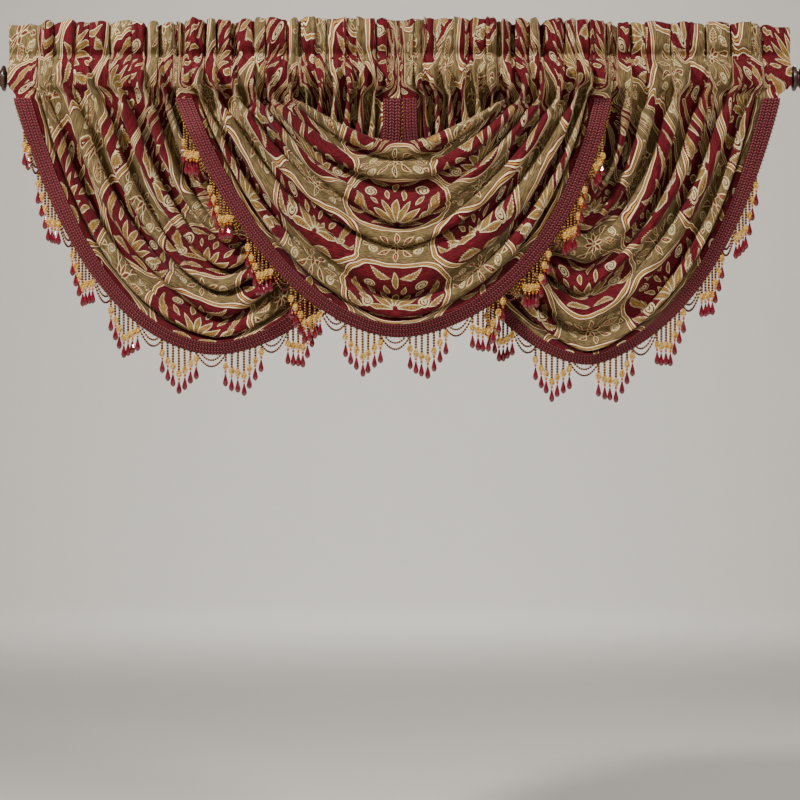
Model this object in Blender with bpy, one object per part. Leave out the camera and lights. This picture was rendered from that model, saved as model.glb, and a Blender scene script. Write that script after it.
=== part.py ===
"""Three gathered swag valances with braid trim and beaded fringe, hung together on one turned pole."""
import math

import bmesh
import bpy
import numpy as np

for old in list(bpy.data.objects):
    bpy.data.objects.remove(old)

# All sizes are in millimetres, from the middle of the pole. X runs to the right, Y to the wall, Z up.
MM = 0.001
GAP = 0.3
HEAD_GAP = 0.5

# Pole and turned ends.
POLE_R = 24.0
POLE_HALF = 931.0
POLE_SIDES = 24
FINIAL_SIDES = 20
# Rows of distance past the pole's end, and radius.
FINIAL_PROFILE = (
    (0.0, 25.0),
    (3.0, 27.0),
    (7.0, 25.0),
    (9.0, 15.0),
    (13.0, 15.0),
    (16.0, 29.0),
    (20.0, 31.0),
    (25.0, 28.0),
    (29.0, 19.0),
    (38.0, 27.0),
    (50.0, 27.0),
    (60.0, 17.0),
    (65.0, 6.0),
)

# Header: ruffle, stitch line and pole pocket.
CLOTH = 2.0
SHARPEST = 0.6
RUFFLE_T = 3.0
STITCH_Z = 42.0
APEX_Z = 36.0
POCKET_Z = -50.0
POCKET_INNER_Z = -45.5
RUFFLE_FLUTE = 15.0
RUFFLE_Y = 5.0
POCKET_FLUTE = 9.0
UPPER_Z = 10.0
LOWER_Z = -22.0
SEAT_Y = 23.8
LOWER_Y = 25.5
WALL = 2.6
BACK_STITCH = 7
RIPPLE_TOP = 7.0

# Trim and fringe.
TRIM_T = 1.5
TRIM_HALF = 19.0
TRIM_LAP = 4.6
TRIM_START = 0.1
CHORD = 0.05
TAPE_DROP = 0.35
TAPE_H = 4.0
TAPE_T = 2.0
TAPE_END = 4.0
STRAND_END = 55.0
BEHIND = 0.01
ROOT_W = 3.0
STRAND_R = 1.7
DROP_R = 4.0
DROP_LENGTH = 26.0
DROP_WIDE = 8.0
STRAND_PITCH = 14.5
STRAND_STEP_X = 8.2
FIRST_RIGHT = 24.0
FIRST_LEFT = -46.0
SLOPE_REACH = 2.0
CLUSTER_GAP = 70.0
CLUSTER_LENGTHS = (81.0, 93.0, 101.0, 112.0, 98.0, 81.0, 67.0)
STEEPEST = 0.3

# Along one half of a fold, from the header to the middle.
STEPS = (0.0, 0.05, 0.11, 0.2, 0.3, 0.4, 0.5, 0.6, 0.7, 0.8, 0.89, 0.95, 1.0)

# Each row is one fold, from the top one to the hem.
#   xl, xr            where its nose leaves the left and the right header
#   xc                where it is lowest
#   top, nose, tuck   heights there of its shoulder, its front and the crease under it
#   y_nose, y_tuck    depths there of its front and of the crease
#   in_l, drop_l      how far in and how far down its left half bends; in_r, drop_r the right half
# head_y is the cloth's depth at the left header's two ends, then the right header's two ends.
# arm_y is its depth half way down, left and right; swing is how far its folds stand out there.
# reach and round are how soon it leaves the header's depth, and how softly it turns at the bottom.
# plumb is how far the left and the right arm hang straight down before they swing to the middle.
# facing is the height, depth and the four bends of the edge inside the top fold.
# In the hem's row, top and nose are the upper edge of the trim and the edge of the cloth.
SWAGS = {
    "centre": {
        "inner": (-240, 244),
        "head_y": (-10, -24, -24, -10),
        "arm_y": (-46, -46),
        "swing": (16, 20),
        "reach": 0.09,
        "round": 0.1,
        "plumb": (0.0, 0.0),
        "facing": (-188, -38, 0.60, 0.89, 0.60, 0.89),
        "folds": (
            ("first", -257, 262, 2, -158, -182, -206, -78, -64, 0.60, 0.89, 0.60, 0.89),
            ("second", -310, 295, 2, -214, -240, -271, -82, -46, 0.43, 0.91, 0.43, 0.90),
            ("third", -346, 341, 5, -295, -341, -362, -84, -54, 0.31, 0.52, 0.31, 0.52),
            ("fourth", -391, 384, 5, -374, -398, -415, -78, -60, 0.42, 0.83, 0.42, 0.83),
            ("fifth", -439, 425, 2, -434, -492, -535, -90, -56, 0.34, 0.70, 0.30, 0.72),
            ("sixth", -476, 450, 2, -542, -569, -586, -84, -74, 0.38, 0.84, 0.27, 0.82),
            ("hem", -514, 487, 0, -593, -619, -619, -76, -62, 0.41, 0.92, 0.25, 0.88),
        ),
    },
    "left": {
        "inner": (-536, -237),
        "head_y": (-2, 6, 14, 8),
        "arm_y": (-4, 0),
        "swing": (14, 18),
        "reach": 0.3,
        "round": 0.07,
        "plumb": (0.0, 0.35),
        "facing": (-215, 10, 0.50, 0.60, 0.30, 0.80),
        "folds": (
            ("first", -559, -222, -403, -271, -302, -334, -30, -10, 0.25, 0.60, 0.30, 0.80),
            ("second", -605, -188, -408, -348, -382, -410, -34, -8, 0.21, 0.60, 0.30, 0.80),
            ("third", -665, -154, -415, -420, -452, -467, -38, -10, 0.31, 0.69, 0.30, 0.80),
            ("fourth", -725, -122, -427, -481, -505, -521, -42, -8, 0.29, 0.77, 0.30, 0.78),
            ("fifth", -790, -90, -427, -528, -562, -583, -42, -12, 0.22, 0.63, 0.30, 0.77),
            ("sixth", -854, -60, -434, -595, -617, -631, -42, -28, 0.31, 0.87, 0.30, 0.87),
            ("hem", -900, -25, -442, -636, -660, -660, -36, -26, 0.35, 0.94, 0.12, 0.90),
        ),
    },
    "right": {
        "inner": (240, 511),
        "head_y": (8, 14, 6, -2),
        "arm_y": (0, -4),
        "swing": (14, 18),
        "reach": 0.3,
        "round": 0.05,
        "plumb": (0.35, 0.0),
        "facing": (-205, 10, 0.40, 0.80, 0.90, 0.60),
        "folds": (
            ("first", 224, 552, 454, -262, -290, -314, -30, -10, 0.40, 0.80, 0.20, 0.70),
            ("second", 188, 610, 449, -329, -360, -377, -34, -12, 0.42, 0.82, 0.25, 0.63),
            ("third", 154, 665, 449, -379, -422, -454, -42, -8, 0.44, 0.84, 0.20, 0.77),
            ("fourth", 122, 734, 437, -470, -504, -528, -38, -10, 0.44, 0.80, 0.19, 0.65),
            ("fifth", 90, 797, 442, -540, -583, -617, -42, -8, 0.45, 0.80, 0.23, 0.66),
            ("sixth", 60, 847, 454, -632, -654, -661, -38, -26, 0.47, 0.88, 0.26, 0.80),
            ("hem", 25, 890, 454, -666, -684, -684, -32, -22, 0.34, 0.93, 0.29, 0.85),
        ),
    },
}

# Each row is one header section: its swag, the swag's side, and the two ends of its ruffle's top.
HEADERS = (
    ("header_left_outer", "left", 0, -938, -537, 138),
    ("header_centre_left", "centre", 0, -535, -240, 145),
    ("header_left_inner", "left", 1, -238, -1, 147),
    ("header_right_inner", "right", 0, 1, 241, 147),
    ("header_centre_right", "centre", 1, 243, 512, 144),
    ("header_right_outer", "right", 1, 514, 941, 136),
)

FABRIC = ((0.30, 0.21, 0.11, 1.0), 0.85)
BRAID = ((0.16, 0.03, 0.045, 1.0), 0.8)
BEADS = ((0.25, 0.03, 0.04, 1.0), 0.15)
WOOD = ((0.07, 0.035, 0.025, 1.0), 0.35)


def ease(t):
    t = min(max(t, 0.0), 1.0)
    return t * t * (3.0 - 2.0 * t)


def mix(a, b, t):
    return a + (b - a) * t


def curve(a, b, c, t):
    """A bend from a, towards b, to c."""
    return (1 - t) ** 2 * a + 2 * t * (1 - t) * b + t * t * c


def swag_rows(swag):
    """Lines of the cloth across its folds, from the facing inside the top fold to the hem."""
    folds = swag["folds"]
    last = len(folds) - 1
    rows = []

    def line(xl, xr, xc, zc, yc, out, shape_a, shape_b):
        bends = [mix(a, b, 0.5) for a, b in zip(shape_a[9:13], shape_b[9:13])]
        rows.append({"x0": (xl, xr), "xc": xc, "zc": zc, "yc": yc, "out": out, "bends": bends})

    first = folds[0]
    inner = swag["inner"]
    facing = swag["facing"]
    edge = (0,) * 9 + facing[2:]
    line(inner[0], inner[1], first[3], facing[0], facing[1], 0.1, edge, edge)
    for k in range(last):
        fold, under = folds[k], folds[k + 1]
        above = folds[k - 1] if k else first
        side_l = above[1] if k else inner[0]
        side_r = above[2] if k else inner[1]
        under_l = under[1] + TRIM_HALF if k + 1 == last else under[1]
        under_r = under[2] - TRIM_HALF if k + 1 == last else under[2]
        back = above[8] if k else fold[7] + 30.0
        line(mix(fold[1], side_l, 0.42), mix(fold[2], side_r, 0.42), fold[3], fold[4],
             mix(back, fold[7], 0.5), 0.5, above, fold)
        line(fold[1], fold[2], fold[3], fold[5], fold[7], 1.0, fold, fold)
        line(mix(fold[1], under_l, 0.32), mix(fold[2], under_r, 0.32), fold[3], fold[6],
             fold[8], 0.0, fold, under)
    hem = folds[last]
    line(hem[1] + TRIM_HALF, hem[2] - TRIM_HALF, hem[3], hem[4], hem[7], 0.55, hem, hem)
    line(hem[1] - TRIM_HALF, hem[2] + TRIM_HALF, hem[3], hem[5], hem[8], 0.4, hem, hem)
    return rows


def swag_point(swag, rows, index, side, t):
    """One point of the cloth: on line `index`, on the left (0) or right (1), t from header to middle."""
    row = rows[index]
    part = index / (len(rows) - 1)
    outer, inner = swag["head_y"][0], swag["head_y"][1]
    if side:
        inner, outer = swag["head_y"][2], swag["head_y"][3]
    x0 = row["x0"][side]
    z0 = POCKET_Z - HEAD_GAP
    bend_x = x0 + row["bends"][2 * side] * (row["xc"] - x0)
    bend_z = z0 + row["bends"][2 * side + 1] * (row["zc"] - z0)
    near = 1.0 - ease(t / swag["reach"])
    low = ease((t - 0.45) / 0.55)
    head = mix(inner, outer, part) - swag["swing"][0] * row["out"]
    arm = swag["arm_y"][side] - swag["swing"][1] * row["out"]
    x = curve(x0, bend_x, row["xc"], t)
    if t < swag["plumb"][side]:
        x = mix(x0, x, ease(t / swag["plumb"][side]))
    soft = swag["round"]
    round_t = 1.0 - math.hypot(1.0 - t, soft)
    lowest = curve(z0, bend_z, row["zc"], 1.0 - soft)
    start = curve(z0, bend_z, row["zc"], 1.0 - math.hypot(1.0, soft))
    z = z0 + (curve(z0, bend_z, row["zc"], round_t) - start) * (row["zc"] - z0) / (lowest - start)
    y = near * head + low * row["yc"] + (1 - near - low) * arm
    return (x, y, z)


def swag_grid(swag, rows):
    """Points by [along the folds, across the folds]."""
    left = [[swag_point(swag, rows, i, 0, t) for i in range(len(rows))] for t in STEPS]
    right = [[swag_point(swag, rows, i, 1, t) for i in range(len(rows))] for t in STEPS[-2::-1]]
    return np.array(left + right)


def slopes(grid, axis):
    """Mean direction at each point of the two steps that meet there."""
    step = np.diff(grid, axis=axis)
    step = step / np.linalg.norm(step, axis=2)[:, :, None]
    first = np.take(step, [0], axis=axis)
    last = np.take(step, [-1], axis=axis)
    return np.concatenate([first, step], axis=axis) + np.concatenate([step, last], axis=axis)


def normals_of(grid):
    """Unit normals at the points of a grid, towards the front."""
    normal = np.cross(slopes(grid, 1), slopes(grid, 0))
    return normal / np.linalg.norm(normal, axis=2)[:, :, None]


def half_thickness(grid, normal):
    """Offsets that keep the cloth's thickness where it bends sharply."""
    step = np.diff(grid, axis=1)
    face = np.cross(step, slopes(grid, 0)[:, 1:])
    face = face / np.linalg.norm(face, axis=2)[:, :, None]
    face = np.concatenate([face, face[:, -1:]], axis=1)
    lean = np.sum(face * normal, axis=2)
    return normal * (CLOTH / 2 / np.clip(lean, SHARPEST, 1.0))[:, :, None]


def add_object(name, points, faces, look):
    """A closed, outward-facing object from points in millimetres."""
    mesh = bpy.data.meshes.new(name)
    mesh.from_pydata([tuple(float(c) * MM for c in p) for p in points], [], faces)
    body = bmesh.new()
    body.from_mesh(mesh)
    bmesh.ops.triangulate(body, faces=body.faces[:])
    bmesh.ops.recalc_face_normals(body, faces=body.faces[:])
    body.to_mesh(mesh)
    body.free()
    item = bpy.data.objects.new(name, mesh)
    bpy.context.collection.objects.link(item)
    colour, rough = look
    material = bpy.data.materials.new(name)
    material.use_nodes = True
    shader = material.node_tree.nodes["Principled BSDF"]
    shader.inputs["Base Color"].default_value = colour
    shader.inputs["Roughness"].default_value = rough
    mesh.materials.append(material)
    return item


def sheet_solid(name, front, back, look):
    """A thin body between two grids of the same size."""
    rows, cols = front.shape[:2]
    points = np.concatenate([front.reshape(-1, 3), back.reshape(-1, 3)])
    half = rows * cols
    faces = []
    for i in range(rows - 1):
        for j in range(cols - 1):
            a = i * cols + j
            b = a + cols
            flip = (j < (cols - 1) // 2) == (i < (rows - 1) // 2)
            loop = (a, b, b + 1, a + 1)
            if flip:
                faces.append((loop[0], loop[1], loop[2]))
                faces.append((loop[0], loop[2], loop[3]))
                faces.append((half + loop[2], half + loop[1], half + loop[0]))
                faces.append((half + loop[3], half + loop[2], half + loop[0]))
            else:
                faces.append((loop[0], loop[1], loop[3]))
                faces.append((loop[1], loop[2], loop[3]))
                faces.append((half + loop[3], half + loop[1], half + loop[0]))
                faces.append((half + loop[3], half + loop[2], half + loop[1]))
    rim = [(i, 0) for i in range(rows)]
    rim += [(rows - 1, j) for j in range(1, cols)]
    rim += [(i, cols - 1) for i in range(rows - 2, -1, -1)]
    rim += [(0, j) for j in range(cols - 2, 0, -1)]
    for k, (i, j) in enumerate(rim):
        m, n = rim[(k + 1) % len(rim)]
        a, b = i * cols + j, m * cols + n
        faces.append((a, b, half + b, half + a))
    return add_object(name, points, faces, look)


def make_trim(name, grid):
    """The braid on the hem, in front of the cloth and a little longer than it."""
    grid = grid.copy()
    grid[0] = mix(grid[0], grid[1], TRIM_START)
    grid[-1] = mix(grid[-1], grid[-2], TRIM_START)
    upper, hem = grid[:, -2], grid[:, -1]
    down = hem - upper
    down = down / np.linalg.norm(down, axis=1)[:, None]
    band = np.stack([upper, hem + down * TRIM_LAP], axis=1)
    normal = normals_of(band)
    near = CLOTH / 2 + GAP + CHORD
    return sheet_solid(name, band + normal * (near + TRIM_T), band + normal * near, BRAID)


def strand_places(path, length):
    """Distances along the hem, and hanging lengths, of the fringe's strands."""
    def at(s):
        return np.interp(s, length, path[:, 0])

    total = length[-1]
    middle = length[len(length) // 2]
    places = []
    for way in (1, -1):
        s = middle + (FIRST_RIGHT if way > 0 else FIRST_LEFT)
        count = 0
        while STRAND_END < s < total - STRAND_END:
            slope = abs(at(s + SLOPE_REACH) - at(s - SLOPE_REACH)) / (2 * SLOPE_REACH)
            corner = length[np.argmin(abs(length - s - ROOT_W / 2))]
            if abs(corner - s - ROOT_W / 2) < ROOT_W:
                s += way * ROOT_W
                continue
            if slope < STEEPEST:
                break
            order = count if way > 0 else -1 - count
            places.append((s, CLUSTER_LENGTHS[order % len(CLUSTER_LENGTHS)]))
            count += 1
            step = STRAND_PITCH if count % len(CLUSTER_LENGTHS) else CLUSTER_GAP
            s += way * max(step, STRAND_STEP_X / slope)
    return sorted(places)


def make_fringe(name, grid):
    """A tape under the hem, with every strand grown from its lower face."""
    upper, hem = grid[:, -2], grid[:, -1]
    down = hem - upper
    down = down / np.linalg.norm(down, axis=1)[:, None]
    normal = normals_of(np.stack([upper, hem], axis=1))[:, 0]
    steps = np.linalg.norm(np.diff(hem, axis=0), axis=1)
    length = np.concatenate([[0.0], np.cumsum(steps)])
    places = strand_places(hem, length)
    points, faces = [], []

    def on_tape(s, drop, front):
        base = [np.interp(s, length, hem[:, c]) for c in range(3)]
        fall = [np.interp(s, length, down[:, c]) for c in range(3)]
        face = [np.interp(s, length, normal[:, c]) for c in range(3)]
        points.append(np.array(base) + np.array(fall) * drop + np.array(face) * front)
        return len(points) - 1

    inner_corners = [s for s in length if TAPE_END < s < length[-1] - TAPE_END]
    stops = [TAPE_END] + inner_corners + [length[-1] - TAPE_END]
    top_f = [(s, on_tape(s, TAPE_DROP, TAPE_T / 2)) for s in stops]
    top_b = [(s, on_tape(s, TAPE_DROP, -TAPE_T / 2)) for s in stops]
    low = TAPE_DROP + TAPE_H
    low_f = [(s, on_tape(s, low, TAPE_T / 2)) for s in stops]
    low_b = [(s + BEHIND, on_tape(s, low, -TAPE_T / 2)) for s in stops]
    roots = []
    for s, hang in places:
        a = on_tape(s, low, TAPE_T / 2)
        b = on_tape(s + ROOT_W, low, TAPE_T / 2)
        c = on_tape(s + ROOT_W / 2, low, -TAPE_T / 2)
        low_f += [(s, a), (s + ROOT_W, b)]
        low_b.append((s + BEHIND, c))
        roots.append((a, b, c, hang))
    low_f.sort()
    low_b.sort()

    def ladder(one, two, skip=()):
        """Triangles between two rows of points, each sorted along the hem."""
        i = j = 0
        while i < len(one) - 1 or j < len(two) - 1:
            step_one = j == len(two) - 1 or (i < len(one) - 1 and one[i + 1][0] <= two[j + 1][0])
            if step_one:
                face = (one[i][1], one[i + 1][1], two[j][1])
                i += 1
            else:
                face = (one[i][1], two[j + 1][1], two[j][1])
                j += 1
            if frozenset(face) not in skip:
                faces.append(face)

    ladder(low_f, low_b, {frozenset(root[:3]) for root in roots})
    ladder(top_f, low_f)
    ladder(top_b, low_b)
    ladder(top_f, top_b)
    faces.append((top_f[0][1], top_b[0][1], low_b[0][1], low_f[0][1]))
    faces.append((top_f[-1][1], low_f[-1][1], low_b[-1][1], top_b[-1][1]))
    for a, b, c, hang in roots:
        centre = (points[a] + points[b] + points[c]) / 3
        rings = [(a, b, c)]
        for radius, fall in ((STRAND_R, hang - DROP_LENGTH), (DROP_R, hang - DROP_WIDE)):
            ring = []
            for turn in (210, 330, 90):
                angle = math.radians(turn)
                offset = (radius * math.cos(angle), radius * math.sin(angle), -fall)
                points.append(centre + np.array(offset))
                ring.append(len(points) - 1)
            rings.append(ring)
        points.append(centre + np.array((0.0, 0.0, -hang)))
        tip = len(points) - 1
        for upper_ring, lower_ring in zip(rings, rings[1:]):
            for k in range(3):
                m = (k + 1) % 3
                faces.append((upper_ring[k], upper_ring[m], lower_ring[m]))
                faces.append((upper_ring[k], lower_ring[m], lower_ring[k]))
        for k in range(3):
            faces.append((rings[-1][k], rings[-1][(k + 1) % 3], tip))
    add_object(name, points, faces, BEADS)
    return len(roots)


def make_header(name, swag, side, x_low, x_high, top_z):
    """Ruffle and pole pocket over one end of a swag, with a flute over every fold."""
    rows = swag_rows(swag)
    order = range(len(rows) - 1, -1, -1) if side == 0 else range(len(rows))
    count = len(rows)
    ends = [swag_point(swag, rows, i, side, 0.0) for i in order]
    outs = [rows[i]["out"] for i in order]
    first_x, last_x = ends[0][0], ends[-1][0]
    inner_share = (LOWER_Z - POCKET_INNER_Z) / (LOWER_Z - POCKET_Z)
    points, faces = [], []
    size = 15
    for k, (foot, out) in enumerate(zip(ends, outs)):
        even = k / (count - 1)
        own = (foot[0] - first_x) / (last_x - first_x)
        x_top = mix(x_low, x_high, mix(own, even, 0.5))
        x_foot = foot[0]

        def spot(y, z):
            share = ease((z - POCKET_Z) / (top_z - POCKET_Z))
            return (mix(x_foot, x_top, share), y, z)

        flute = min(out * 1.6, 1.0)
        crown = RUFFLE_Y - RUFFLE_FLUTE * flute
        high = top_z - RIPPLE_TOP * (1.0 - flute)
        bulge = POCKET_FLUTE * flute
        half = RUFFLE_T / 2
        foot_y = foot[1]
        points += [
            spot(crown - half, high),
            spot(-half, STITCH_Z),
            spot(-SEAT_Y - WALL - bulge, UPPER_Z),
            spot(-LOWER_Y - CLOTH - bulge, LOWER_Z),
            spot(foot_y, POCKET_Z),
            spot(LOWER_Y + CLOTH, LOWER_Z),
            spot(SEAT_Y + WALL, UPPER_Z),
            spot(half, STITCH_Z),
            spot(crown + half, high),
            spot(0.0, APEX_Z),
            spot(-SEAT_Y - bulge, UPPER_Z),
            spot(-LOWER_Y - bulge, LOWER_Z),
            spot(mix(-bulge / 2, foot_y, inner_share), POCKET_INNER_Z),
            spot(LOWER_Y, LOWER_Z),
            spot(SEAT_Y, UPPER_Z),
        ]
    outer = list(range(9))
    inner = list(range(9, 15))
    for k in range(count - 1):
        a, b = k * size, (k + 1) * size
        for ring in (outer, inner):
            for m, here in enumerate(ring):
                after = ring[(m + 1) % len(ring)]
                if here == BACK_STITCH:
                    faces.append((a + here, b + here, a + after))
                    faces.append((b + here, b + after, a + after))
                else:
                    faces.append((a + here, b + here, b + after))
                    faces.append((a + here, b + after, a + after))
    caps = ((0, 1, 7), (0, 7, 8), (1, 9, 7), (1, 2, 10, 9), (2, 3, 11, 10), (3, 4, 12, 11),
            (4, 5, 13, 12), (5, 6, 14, 13), (6, 7, 9, 14))
    for base in (0, (count - 1) * size):
        for cap in caps:
            faces.append(tuple(base + v for v in cap))
    add_object(name, points, faces, FABRIC)


def lathe(name, profile, sides, way, start, look):
    """A turned piece on the pole's axis, closed at both ends."""
    points, faces = [], []
    for distance, radius in profile:
        for k in range(sides):
            angle = 2 * math.pi * k / sides
            x = way * (start + distance)
            points.append((x, radius * math.cos(angle), radius * math.sin(angle)))
    for ring in range(len(profile) - 1):
        for k in range(sides):
            a, b = ring * sides + k, ring * sides + (k + 1) % sides
            faces.append((a, b, b + sides, a + sides))
    faces.append(tuple(range(sides)))
    end = (len(profile) - 1) * sides
    faces.append(tuple(range(end, end + sides)))
    add_object(name, points, faces, look)


lathe("pole", ((0.0, POLE_R), (2 * POLE_HALF, POLE_R)), POLE_SIDES, 1, -POLE_HALF, WOOD)
lathe("finial_left", FINIAL_PROFILE, FINIAL_SIDES, -1, POLE_HALF + GAP, WOOD)
lathe("finial_right", FINIAL_PROFILE, FINIAL_SIDES, 1, POLE_HALF + GAP, WOOD)

for name, which, side, x_low, x_high, top_z in HEADERS:
    make_header(name, SWAGS[which], side, x_low, x_high, top_z)

for which, swag in SWAGS.items():
    rows = swag_rows(swag)
    grid = swag_grid(swag, rows)
    half = half_thickness(grid, normals_of(grid))
    sheet_solid("swag_" + which, grid + half, grid - half, FABRIC)
    make_trim("trim_" + which, grid)
    strands = make_fringe("fringe_" + which, grid)
    print("strands on", which, strands)
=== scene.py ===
"""Three gathered swag valances on a wooden rod: woven damask, ribbed braid and beaded fringe."""
import math

import bpy
import numpy as np
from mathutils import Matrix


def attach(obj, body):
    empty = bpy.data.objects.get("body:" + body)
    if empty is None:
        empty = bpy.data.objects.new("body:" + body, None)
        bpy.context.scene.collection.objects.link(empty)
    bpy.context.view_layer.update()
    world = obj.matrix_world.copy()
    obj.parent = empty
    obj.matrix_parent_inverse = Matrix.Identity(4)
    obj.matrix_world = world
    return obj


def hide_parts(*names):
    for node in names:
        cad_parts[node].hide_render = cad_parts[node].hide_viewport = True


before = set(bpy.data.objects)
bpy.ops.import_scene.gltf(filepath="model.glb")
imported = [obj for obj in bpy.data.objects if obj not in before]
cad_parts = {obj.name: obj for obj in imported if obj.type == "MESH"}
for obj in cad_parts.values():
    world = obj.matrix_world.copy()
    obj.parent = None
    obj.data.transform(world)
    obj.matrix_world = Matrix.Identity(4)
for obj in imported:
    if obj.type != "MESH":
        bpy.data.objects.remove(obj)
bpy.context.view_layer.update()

MM = 0.001
TURN = 2 * math.pi

# Sizes in millimetres, from the middle of the rod, as in the solids.
POLE_R = 24.0
POLE_HALF = 931.0
FINIAL_GAP = 0.3
FINIAL_PROFILE = (
    (0.0, 25.0), (1.2, 26.6), (3.0, 27.0), (5.2, 26.4), (7.0, 24.6), (8.4, 19.0), (9.4, 15.2),
    (11.0, 14.6), (13.0, 15.0), (14.4, 20.0), (16.0, 28.0), (18.0, 30.6), (20.0, 31.0), (22.6, 30.4),
    (25.0, 28.0), (27.2, 22.6), (29.0, 19.0), (31.4, 20.4), (34.4, 24.4), (38.0, 27.2), (43.0, 28.8),
    (48.0, 28.4), (53.0, 25.6), (57.0, 21.4), (60.4, 16.6), (63.0, 10.8), (64.6, 5.4), (65.0, 0.05),
)
STITCH_Z = 42.0
POCKET_Z = -50.0
HEAD_GAP = 0.5
RUFFLE_Y = 5.0
TRIM_HALF = 19.0
TRIM_LAP = 5.8
TRIM_WIDE = 42.6
TRIM_FACE = 1.5
TRIM_BACK = 1.35
STRAND_ROOT = 5.4
STRAND_END = 55.0
STRAND_PITCH = 14.5
STRAND_STEP_X = 8.2
FIRST_RIGHT = 24.0
FIRST_LEFT = -46.0
CLUSTER_GAP = 70.0
CLUSTER_LENGTHS = (81.0, 93.0, 101.0, 112.0, 98.0, 81.0, 67.0)
STEEPEST = 0.3
DROP_LENGTH = 32.0

# Beads: radii, and steps along the hem, a strand, a cluster and a loop.
EDGE_R = 1.7
SEED_R = 3.5
GOLD_R = 2.7
LOOP_GOLD_R = 2.1
LOOP_SEED_R = 3.1
EDGE_STEP = 3.3
SEED_STEP = 6.4
CLUSTER_STEP = 4.2
CLUSTER_TALL = 17.0
CLUSTER_SWELL = (3.4, 5.2, 5.4, 3.2)
DROP_NECK = 9.0
# Loops between two clusters: how far in they hang, as a share of the span, and how deep.
LOOPS = ((0.0, 32.0), (0.13, 17.0))

# Each row is one fold, from the top one to the hem.
#   xl, xr            where its nose leaves the left and the right header
#   xc                where it is lowest
#   top, nose, tuck   heights there of its shoulder, its front and the crease under it
#   y_nose, y_tuck    depths there of its front and of the crease
#   in_l, drop_l      how far in and how far down its left half bends; in_r, drop_r the right half
# Above the rows stand the neckline's ends, the depths at the headers and on the arms, how far the
# rolls swing out there, the share of a half that hangs from the header, the roundness of the lowest
# point, the share that drops straight, the neckline's height, depth and bends, and the repeat's place.
SWAGS = {
    "centre": {
        "inner": (-240, 244),
        "head_y": (-10, -24, -24, -10),
        "arm_y": (-46, -46),
        "swing": (16, 20),
        "reach": 0.09,
        "round": 0.1,
        "plumb": (0.0, 0.0),
        "facing": (-188, -38, 0.60, 0.89, 0.60, 0.89),
        "motif": (0, -98),
        "folds": (
            ("first", -257, 262, 2, -158, -182, -206, -78, -64, 0.60, 0.89, 0.60, 0.89),
            ("second", -310, 295, 2, -214, -240, -271, -82, -46, 0.43, 0.91, 0.43, 0.90),
            ("third", -346, 341, 5, -295, -341, -362, -84, -54, 0.31, 0.52, 0.31, 0.52),
            ("fourth", -391, 384, 5, -374, -398, -415, -78, -60, 0.42, 0.83, 0.42, 0.83),
            ("fifth", -439, 425, 2, -434, -492, -535, -90, -56, 0.34, 0.70, 0.30, 0.72),
            ("sixth", -476, 450, 2, -542, -569, -586, -84, -74, 0.38, 0.84, 0.27, 0.82),
            ("hem", -514, 487, 0, -593, -619, -619, -76, -62, 0.41, 0.92, 0.25, 0.88),
        ),
    },
    "left": {
        "inner": (-536, -237),
        "head_y": (-2, 6, 14, 8),
        "arm_y": (-4, 0),
        "swing": (14, 18),
        "reach": 0.3,
        "round": 0.07,
        "plumb": (0.0, 0.35),
        "facing": (-215, 10, 0.50, 0.60, 0.30, 0.80),
        "motif": (40, -70),
        "folds": (
            ("first", -559, -222, -403, -271, -302, -334, -30, -10, 0.25, 0.60, 0.30, 0.80),
            ("second", -605, -188, -408, -348, -382, -410, -34, -8, 0.21, 0.60, 0.30, 0.80),
            ("third", -665, -154, -415, -420, -452, -467, -38, -10, 0.31, 0.69, 0.30, 0.80),
            ("fourth", -725, -122, -427, -481, -505, -521, -42, -8, 0.29, 0.77, 0.30, 0.78),
            ("fifth", -790, -90, -427, -528, -562, -583, -42, -12, 0.22, 0.63, 0.30, 0.77),
            ("sixth", -854, -60, -434, -595, -617, -631, -42, -28, 0.31, 0.87, 0.30, 0.87),
            ("hem", -900, -25, -442, -636, -660, -660, -36, -26, 0.35, 0.94, 0.12, 0.90),
        ),
    },
    "right": {
        "inner": (240, 511),
        "head_y": (8, 14, 6, -2),
        "arm_y": (0, -4),
        "swing": (14, 18),
        "reach": 0.3,
        "round": 0.05,
        "plumb": (0.35, 0.0),
        "facing": (-205, 10, 0.40, 0.80, 0.90, 0.60),
        "motif": (-30, 60),
        "folds": (
            ("first", 224, 552, 454, -262, -290, -314, -30, -10, 0.40, 0.80, 0.20, 0.70),
            ("second", 188, 610, 449, -329, -360, -377, -34, -12, 0.42, 0.82, 0.25, 0.63),
            ("third", 154, 665, 449, -379, -422, -454, -42, -8, 0.44, 0.84, 0.20, 0.77),
            ("fourth", 122, 734, 437, -470, -504, -528, -38, -10, 0.44, 0.80, 0.19, 0.65),
            ("fifth", 90, 797, 442, -540, -583, -617, -42, -8, 0.45, 0.80, 0.23, 0.66),
            ("sixth", 60, 847, 454, -632, -654, -661, -38, -26, 0.47, 0.88, 0.26, 0.80),
            ("hem", 25, 890, 454, -666, -684, -684, -32, -22, 0.34, 0.93, 0.29, 0.85),
        ),
    },
}

# Each row is one header section: its swag, the swag's side, the two ends and the height of its
# ruffle's top, and how far its lower edge reaches past its first and last line, behind its neighbour.
HEADERS = (
    ("header_left_outer", "left", 0, -938, -537, 138, 0.0, 4.0),
    ("header_centre_left", "centre", 0, -535, -240, 145, 1.0, 0.0),
    ("header_left_inner", "left", 1, -238, -1, 147, 4.0, 4.8),
    ("header_right_inner", "right", 0, 1, 241, 147, 4.8, 5.0),
    ("header_centre_right", "centre", 1, 243, 512, 144, 0.0, 3.0),
    ("header_right_outer", "right", 1, 514, 941, 136, 4.0, 0.0),
)

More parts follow.
